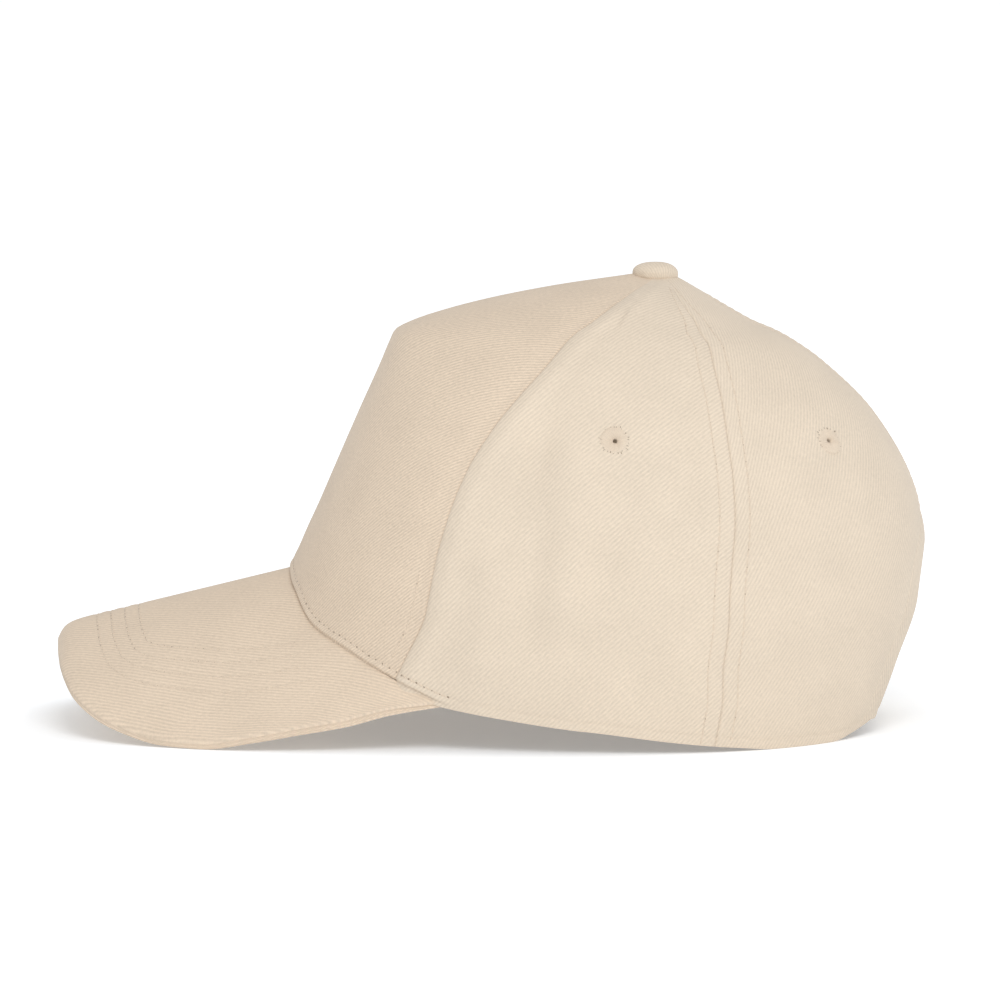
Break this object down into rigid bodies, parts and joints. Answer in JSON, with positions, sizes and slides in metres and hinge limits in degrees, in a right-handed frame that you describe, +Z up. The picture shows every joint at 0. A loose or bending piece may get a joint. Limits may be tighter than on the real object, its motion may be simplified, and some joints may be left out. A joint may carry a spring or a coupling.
{
  "type": "five panel cap",
  "caption": "Sand coloured cotton twill cap with one wide stiff front panel, stitched eyelets, a cloth button, a curved peak and an arched back opening with a strap.",
  "frame": {"origin": "on the surface that the cap rests on, below the middle of its overall length and width", "axes": "+Z up through the crown, -Y to the tip of the peak, +X to the wearer's left"},
  "size_m": [0.1644, 0.2814, 0.1499],
  "materials": {
    "sand_front": "matte",
    "sand_side": "matte",
    "sand_thread": "matte"
  },
  "bodies": {
    "root": {"front_panel": "sand_front", "peak": "sand_front", "left_side_panel": "sand_side", "right_side_panel": "sand_side", "left_back_panel": "sand_side", "right_back_panel": "sand_side", "top_button": "sand_side", "back_strap": "sand_side", "eyelet_left_side": "sand_thread", "eyelet_right_side": "sand_thread", "eyelet_left_back": "sand_thread", "eyelet_right_back": "sand_thread"}
  },
  "joints": []
}
